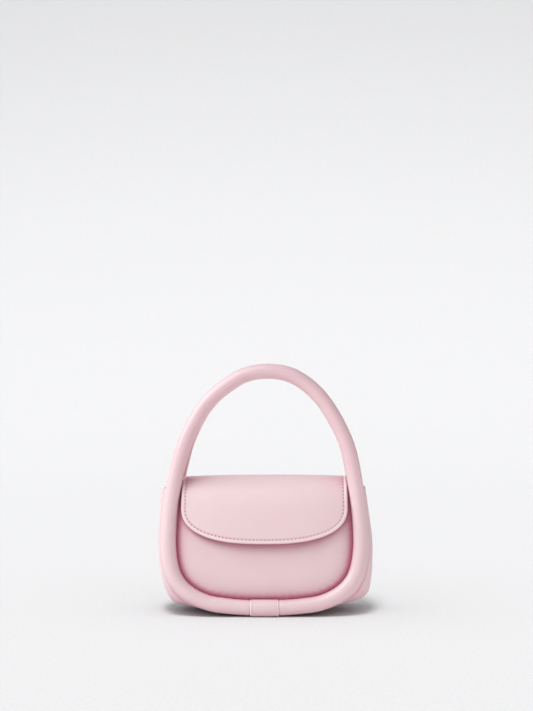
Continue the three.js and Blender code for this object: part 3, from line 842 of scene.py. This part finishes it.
def laid_flap(name):
    """The whole flap: outer face from its middle to the edge, the round edge, and the inner face."""
    centre = np.array([0, flap_length / 2])
    to_ring = flap_edge + EDGE_STEPS[-1] * flap_inwards - centre
    half = FLAP_WALL / 2
    rows = [(centre + share * to_ring, 0, MIDDLE_OF_FLAP) for share in INNER_SHARES[::-1]]
    rows += [(flap_edge + step * flap_inwards, flap_relief(step), step) for step in EDGE_STEPS[::-1]]
    rows += [(flap_edge + half * (1 - math.cos(turn)) * flap_inwards,
              half * (math.sin(turn) - 1) + BEAD_HEIGHT * max(0, math.sin(turn)) * BEAD_OVER_EDGE, 0)
             for turn in ROUND_STEPS]
    rows += [(flap_edge + step * flap_inwards, -FLAP_WALL, UNDER_FLAP) for step in EDGE_STEPS[::3]]
    rows += [(centre + share * to_ring, -FLAP_WALL, UNDER_FLAP) for share in INNER_SHARES[::2]]
    flats = np.array([row[0] for row in rows])
    heights, insets = (np.repeat([[row[k]] for row in rows], FLAP_AROUND, axis=1) for k in (1, 2))
    points = flap_surface(flats[..., 0], flats[..., 1], heights)[0]
    faces = ring_faces(len(points), FLAP_AROUND) + end_faces(len(points), FLAP_AROUND)
    slots = np.repeat((insets[:-1, 0] < 0).astype(int), FLAP_AROUND).tolist() + [0, 1]
    rim = np.where(insets < 0, 0, 1 - smooth(*RIM_FADES, insets))
    # Painted shade in the stitch groove
    seam = np.where(insets < 0, 0, ridge(insets, STITCH_INSET, STITCH_PAINTED_SHADE_WIDTH))
    return face_outwards(new_piece(name, points.reshape(-1, 3), faces, [flap_leather, flesh_side], slots,
                                   seam=STITCH_PAINTED_SHADE * seam, rim=FLAP_RIM * rim))


flap = laid_flap("stitched_flap")
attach(flap, "root")
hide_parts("flap")
print(flap.name, len(flap.data.polygons), "faces")

# %% [markdown]
# ## The keepers
# A keeper is a leather tab bent round the front and underside of a tube. The bag stands on it, so its
# underside is pressed flat on the surface. It is a rounded strip section carried round the tube.

# %% Keepers
KEEPER_INNER_RADIUS = 6.6
KEEPER_OUTER_RADIUS = 7.8
KEEPER_FROM = math.radians(-92)
KEEPER_TO = math.radians(128)
KEEPER_STEPS = 72
KEEPER_ACROSS = 61
KEEPER_EDGE = 0.45
KEEPER_STITCH_INSET = 1.9
KEEPER_GROOVE = 0.18
KEEPER_GROOVE_WIDTH = 0.6
# Painted shade: a deeper pink along the keeper's stitch grooves
KEEPER_PAINTED_SHADE = 0.1
KEEPER_RIM = 0.8
KEEPER_RIM_FADES = (0.2, 0.9)


def keeper_section():
    """Pairs of x and radius round the tab's strip: outer face with stitch grooves, then inner face."""
    half = KEEPER_WIDTH / 2
    edge_turn = np.radians(np.linspace(0, 90, 5))
    flat_x = np.linspace(half - KEEPER_EDGE, KEEPER_EDGE - half, KEEPER_ACROSS)
    groove = KEEPER_GROOVE * ridge(half - np.abs(flat_x), KEEPER_STITCH_INSET, KEEPER_GROOVE_WIDTH)
    outer = np.stack([flat_x, KEEPER_OUTER_RADIUS - groove], axis=1)
    corner = np.stack([half - KEEPER_EDGE + KEEPER_EDGE * np.cos(edge_turn),
                       KEEPER_OUTER_RADIUS - KEEPER_EDGE + KEEPER_EDGE * np.sin(edge_turn)], axis=1)[:-1]
    far_corner = corner[::-1] * (-1, 1)
    inner = np.array([[-half, KEEPER_INNER_RADIUS], [half, KEEPER_INNER_RADIUS]])
    return np.vstack([corner, outer, far_corner, inner])


def on_keeper(side, x, radius, turn):
    """A point of the tab, pressed flat where it would go below the surface."""
    y = side * (FRAME_BASE_Y + radius * np.cos(turn))
    return np.stack([x + 0 * y, y, np.maximum(0, BASE_Z - radius * np.sin(turn))], axis=-1)


def keeper_tab(name, side):
    """The tab as closed sections round the tube, with flat ends tucked into the seams."""
    section = keeper_section()
    turns = np.linspace(KEEPER_FROM, KEEPER_TO, KEEPER_STEPS)
    rings = np.array([on_keeper(side, section[:, 0], section[:, 1], turn) for turn in turns])
    faces = ring_faces(KEEPER_STEPS, len(section)) + end_faces(KEEPER_STEPS, len(section))
    from_edge = KEEPER_WIDTH / 2 - np.abs(section[:, 0])
    rim = KEEPER_RIM * (1 - smooth(*KEEPER_RIM_FADES, from_edge))
    # Painted shade in the stitch grooves
    seam = KEEPER_PAINTED_SHADE * ridge(from_edge, KEEPER_STITCH_INSET, KEEPER_GROOVE_WIDTH)
    return face_outwards(new_piece(name, rings.reshape(-1, 3), faces, [tube_leather],
                                   seam=np.tile(seam, KEEPER_STEPS), rim=np.tile(rim, KEEPER_STEPS)))


for place, side in (("front", -1), ("rear", 1)):
    tab = keeper_tab(f"{place}_keeper_tab", side)
    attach(tab, "root")
    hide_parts(f"{place}_keeper")
    print(tab.name, len(tab.data.polygons), "faces")

# %% [markdown]
# ## Stitches
# A stitch is a short hump of thread between two needle holes. There are hundreds, all alike, so Geometry
# Nodes put one stitch and one hole at each step of a path, turned along the path and upright on the
# leather. A hole is a flat dark mark of painted shade. The path carries the leather's outward direction as
# an attribute.

# %% Stitch tree
HOLE_FLATNESS = 0.35


def stitch_tree():
    """A Geometry Nodes tree that sews along a chain of edges."""
    tree, given = new_tree("lockstitch", {"Pitch": "Float", "Stitch Length": "Float",
                                          "Thread Width": "Float", "Hole Width": "Float",
                                          "Thread": "Material", "Hole": "Material"})
    curve = add_node(tree, "GeometryNodeMeshToCurve", {"Mesh": given["Geometry"]})
    steps = add_node(tree, "GeometryNodeResampleCurve",
                     {"Curve": curve.outputs[0], "Length": given["Pitch"]}, mode="LENGTH")
    upright = add_node(tree, "GeometryNodeInputNamedAttribute", values={"Name": "upright"},
                       data_type="FLOAT_VECTOR")
    ahead = add_node(tree, "GeometryNodeInputTangent")
    turn = add_node(tree, "FunctionNodeAxesToRotation",
                    {"Primary Axis": upright.outputs[0], "Secondary Axis": ahead.outputs[0]},
                    primary_axis="Z", secondary_axis="X")

    ball = add_node(tree, "GeometryNodeMeshUVSphere", values={"Segments": 8, "Rings": 6, "Radius": 0.5})
    soft = add_node(tree, "GeometryNodeSetShadeSmooth", {"Geometry": ball.outputs["Mesh"]})
    thread_size = add_node(tree, "ShaderNodeCombineXYZ",
                           {"X": given["Stitch Length"], "Y": given["Thread Width"],
                            "Z": given["Thread Width"]})
    hump = add_node(tree, "GeometryNodeTransform",
                    {"Geometry": soft.outputs[0], "Scale": thread_size.outputs[0]})

    half_pitch = add_node(tree, "ShaderNodeMath", {0: given["Pitch"]}, {1: 0.5}, operation="MULTIPLY")
    beside = add_node(tree, "ShaderNodeCombineXYZ", {"X": half_pitch.outputs[0]})
    flat_hole = add_node(tree, "ShaderNodeMath", {0: given["Hole Width"]}, {1: HOLE_FLATNESS},
                         operation="MULTIPLY")
    hole_size = add_node(tree, "ShaderNodeCombineXYZ",
                         {"X": given["Hole Width"], "Y": given["Hole Width"], "Z": flat_hole.outputs[0]})
    # The hole: a flattened ball in the dark finish, painted shade of a needle hole
    pit = add_node(tree, "GeometryNodeTransform",
                   {"Geometry": soft.outputs[0], "Translation": beside.outputs[0],
                    "Scale": hole_size.outputs[0]})
    marked = add_node(tree, "GeometryNodeStoreNamedAttribute", {"Geometry": pit.outputs[0]},
                      {"Name": "hole", "Value": True}, data_type="BOOLEAN", domain="FACE")

    stitch = add_node(tree, "GeometryNodeJoinGeometry", {"Geometry": hump.outputs[0]})
    tree.links.new(marked.outputs[0], stitch.inputs["Geometry"])
    row = add_node(tree, "GeometryNodeInstanceOnPoints",
                   {"Points": steps.outputs[0], "Instance": stitch.outputs[0], "Rotation": turn.outputs[0]})
    real = add_node(tree, "GeometryNodeRealizeInstances", {"Geometry": row.outputs[0]})
    is_hole = add_node(tree, "GeometryNodeInputNamedAttribute", values={"Name": "hole"},
                       data_type="BOOLEAN")
    sewn = add_node(tree, "GeometryNodeSetMaterial",
                    {"Geometry": real.outputs[0], "Material": given["Thread"]})
    pierced = add_node(tree, "GeometryNodeSetMaterial",
                       {"Geometry": sewn.outputs[0], "Selection": is_hole.outputs[0],
                        "Material": given["Hole"]})
    add_node(tree, "NodeGroupOutput", {"Geometry": pierced.outputs[0]})
    return tree


lockstitch = stitch_tree()


def sew(name, paths, pitch, length, width, hole):
    """Stitches of the given sizes along paths, each with points and upright directions, closed or not."""
    points, uprights, chain = [], [], []
    for path, upright, closed in paths:
        first = len(points)
        points.extend(path)
        uprights.extend(upright)
        chain.extend((first + i, first + i + 1) for i in range(len(path) - 1))
        if closed:
            chain.append((first + len(path) - 1, first))
    mesh = bpy.data.meshes.new(name)
    mesh.from_pydata((np.array(points) * MM).tolist(), chain, [])
    mesh.attributes.new("upright", "FLOAT_VECTOR", "POINT").data.foreach_set("vector", np.ravel(uprights))
    piece = add_object(name, mesh)
    run_tree(piece, lockstitch, **{"Pitch": pitch * MM, "Stitch Length": length * MM,
                                   "Thread Width": width * MM, "Hole Width": hole * MM,
                                   "Thread": thread, "Hole": needle_hole_shade})
    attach(piece, "root")
    print(name, len(piece.data.polygons), "faces")


# %% Flap and keeper stitches
THREAD_LIFT = 0.02
KEEPER_ROW_FROM = -84
KEEPER_ROW_TO = 62
KEEPER_ROW_POINTS = 60
KEEPER_ROW_RADIUS = KEEPER_OUTER_RADIUS - 0.16

row_flat = flap_edge + STITCH_INSET * flap_inwards
row_height = np.full(FLAP_AROUND, -STITCH_GROOVE + THREAD_LIFT)
row_points, row_upright = flap_surface(row_flat[:, 0], row_flat[:, 1], row_height)
sew("flap_stitches", [(row_points, row_upright, True)], pitch=3.5, length=2.5, width=0.75, hole=1.0)

keeper_turns = np.radians(np.linspace(KEEPER_ROW_FROM, KEEPER_ROW_TO, KEEPER_ROW_POINTS))
keeper_rows = []
for side in (-1, 1):
    for end in (-1, 1):
        x = end * (KEEPER_WIDTH / 2 - KEEPER_STITCH_INSET)
        path = on_keeper(side, x, KEEPER_ROW_RADIUS, keeper_turns)
        upright = np.stack([0 * keeper_turns, side * np.cos(keeper_turns), -np.sin(keeper_turns)], axis=1)
        keeper_rows.append((path, upright, False))
sew("keeper_stitches", keeper_rows, pitch=2.9, length=2.1, width=0.45, hole=0.3)

# %% [markdown]
# ## The clasp
# A magnetic snap holds the flap shut. It is hidden between flap and panel, so a turned disc with a
# rounded rim and a shallow ring is enough. It is spun from a short profile of radius and height.

# %% Clasp
CLASP_Z = 79
flap_run_out = np.subtract(FLAP_PROFILE[-1], FLAP_PROFILE[-2])
CLASP_LEAN = math.atan(flap_run_out[0] / flap_run_out[1])
CLASP_THICKNESS = 2.9
CLASP_GAP = 0.35
CLASP_PROFILE = [(0.5, 1.1), (4.2, 1.1), (4.6, 1.45), (7.2, 1.45), (7.8, 1.2), (8, 0.6), (8, -0.6),
                 (7.8, -1.2), (7.2, -1.45), (0.5, -1.45)]
CLASP_AROUND = 48


def turned_disc(name):
    """The snap's disc, spun round its own axis, then leant as the flap leans."""
    angles = np.linspace(0, 2 * math.pi, CLASP_AROUND, endpoint=False)
    rings = np.array([[(r * math.cos(a), -h, r * math.sin(a)) for a in angles] for r, h in CLASP_PROFILE])
    lean = np.array([[1, 0, 0], [0, math.cos(-CLASP_LEAN), -math.sin(-CLASP_LEAN)],
                     [0, math.sin(-CLASP_LEAN), math.cos(-CLASP_LEAN)]])
    face = float(panel_face(np.array([0.0]), np.array([CLASP_Z]))[0][0])
    place = np.array([0, -face - CLASP_GAP - CLASP_THICKNESS / 2, CLASP_Z])
    faces = ring_faces(len(CLASP_PROFILE), CLASP_AROUND) + end_faces(len(CLASP_PROFILE), CLASP_AROUND)
    return face_outwards(new_piece(name, rings.reshape(-1, 3) @ lean.T + place, faces, [nickel]))


clasp = turned_disc("magnetic_snap")
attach(clasp, "root")
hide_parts("magnetic_clasp")
print(clasp.name, "leans", round(math.degrees(CLASP_LEAN), 1), "degrees")

# %% [markdown]
# ## The set
# The photograph is a studio shot on seamless white paper. The floor runs up into the wall in one sweep,
# so that no horizon shows. The paper here is a pale grey that strong lamps bring up to white: a whiter
# paper would throw the bag's pink back at it, and the shadow under the base would be washed out.

# %% Paper sweep
SWEEP_HALF_WIDTH = 4000
SWEEP_FRONT = -4000
SWEEP_BACK = 1000
SWEEP_BEND = 2500
SWEEP_HEIGHT = 4000
SWEEP_BEND_STEPS = 25


def paper_sweep():
    """A floor and wall of white paper with a wide bend between them."""
    turns = np.radians(np.linspace(0, 90, SWEEP_BEND_STEPS))
    bend = np.stack([SWEEP_BACK + SWEEP_BEND * np.sin(turns), SWEEP_BEND * (1 - np.cos(turns))], axis=1)
    profile = np.vstack([[SWEEP_FRONT, 0], bend, [SWEEP_BACK + SWEEP_BEND, SWEEP_HEIGHT]])
    rows = [[(x, y, z) for x in (SWEEP_HALF_WIDTH, -SWEEP_HALF_WIDTH)] for y, z in profile]
    finish = plain_finish("pale_grey_paper", "#a4a4a5", roughness=0.85, fibre_mm=3.0, depth_mm=0.02)
    faces = ring_faces(len(rows), 2, loop_around=False)
    piece = new_piece("paper_sweep", np.array(rows).reshape(-1, 3), faces, [finish])
    return piece


paper = paper_sweep()
print(paper.name, len(paper.data.polygons), "faces")

# %% [markdown]
# ## The light
# The bag and the paper are lit apart, as on a set where the paper has lamps of its own, and light linking
# says which lamp lights what. A large window-like box on the left lights the left and the top of each
# tube, a softer one overhead opens the flap, and two weak pinkish fills keep the right side and the
# underside of the base from going grey. On the paper, a lamp high in front evens out the wall, and three
# suns lay the short shadow under the base: a high one makes its dark middle, and two broad ones from the
# sides reach under the lower corners, so that it fades towards its ends.

# %% Light
AIM = Vector((0, 0, 0.1))
LAMP_DISTANCE = 3.0
WINDOW_COLOUR = (0.88, 1.0, 0.985)
FILL_COLOUR = (1.0, 0.93, 0.945)
# Name, direction from the bag, watts, width and height in metres, colour
BAG_BOXES = [("window_box", Vector((-0.76, -0.15, 0.63)), 76, 1.9, 1.9, WINDOW_COLOUR),
             ("ceiling_box", Vector((-0.38, -0.5, 0.78)), 37, 1.6, 1.6, WINDOW_COLOUR),
             ("right_fill", Vector((0.96, -0.16, 0.06)), 26, 2.4, 2.4, FILL_COLOUR),
             ("low_front_fill", Vector((0.1, -1, 0.07)), 13, 3.0, 0.5, FILL_COLOUR)]
PAPER_AIM = Vector((0, 2.5, 3.5))
PAPER_LAMP_TOWARDS = Vector((-0.4, -3.7, 0))
PAPER_LAMP_DISTANCE = 3.75
PAPER_LAMP_WATTS = 26
PAPER_LAMP_WIDTH = 1.6
PAPER_LAMP_SPREAD = math.radians(95)
# Name, direction from the bag, strength, width in degrees
FLOOR_SUNS = [("high_floor_sun", Vector((-0.08, -0.3, 0.95)), 3.05, 14),
              ("left_floor_sun", Vector((-0.6, -0.24, 0.8)), 2.65, 95),
              ("right_floor_sun", Vector((0.6, -0.24, 0.8)), 2.25, 95)]
AIR_COLOUR = "#fafbfd"
AIR_STRENGTH = 0.16


def lamp(name, kind, towards, distance, energy, lit_pieces, aim=AIM, **settings):
    """A lamp that stands towards a direction from its aim and lights only the given pieces."""
    data = bpy.data.lights.new(name, kind)
    data.energy = energy
    for key, value in settings.items():
        setattr(data, key, value)
    light = add_object(name, data)
    light.location = aim + towards.normalized() * distance
    light.rotation_euler = (-towards).to_track_quat("-Z", "Y").to_euler()
    lit = bpy.data.collections.new(f"lit_by_{name}")
    for piece in lit_pieces:
        lit.objects.link(piece)
    light.light_linking.receiver_collection = lit


bag_pieces = [piece for piece in bpy.context.scene.objects if piece.type == "MESH" and piece is not paper]
for name, towards, watts, width, height, colour in BAG_BOXES:
    lamp(name, "AREA", towards, LAMP_DISTANCE, watts, bag_pieces,
         shape="RECTANGLE", size=width, size_y=height, color=colour)
lamp("paper_lamp", "AREA", PAPER_LAMP_TOWARDS, PAPER_LAMP_DISTANCE, PAPER_LAMP_WATTS, [paper],
     aim=PAPER_AIM, shape="SQUARE", size=PAPER_LAMP_WIDTH, spread=PAPER_LAMP_SPREAD)
for name, towards, strength, degrees in FLOOR_SUNS:
    lamp(name, "SUN", towards, LAMP_DISTANCE, strength, [paper], angle=math.radians(degrees))
world = bpy.data.worlds.new("studio_air")
world.use_nodes = True
air = world.node_tree.nodes["Background"]
air.inputs["Color"].default_value = to_linear(AIR_COLOUR)
air.inputs["Strength"].default_value = AIR_STRENGTH
bpy.context.scene.world = world
bpy.context.scene.view_settings.view_transform = "Standard"
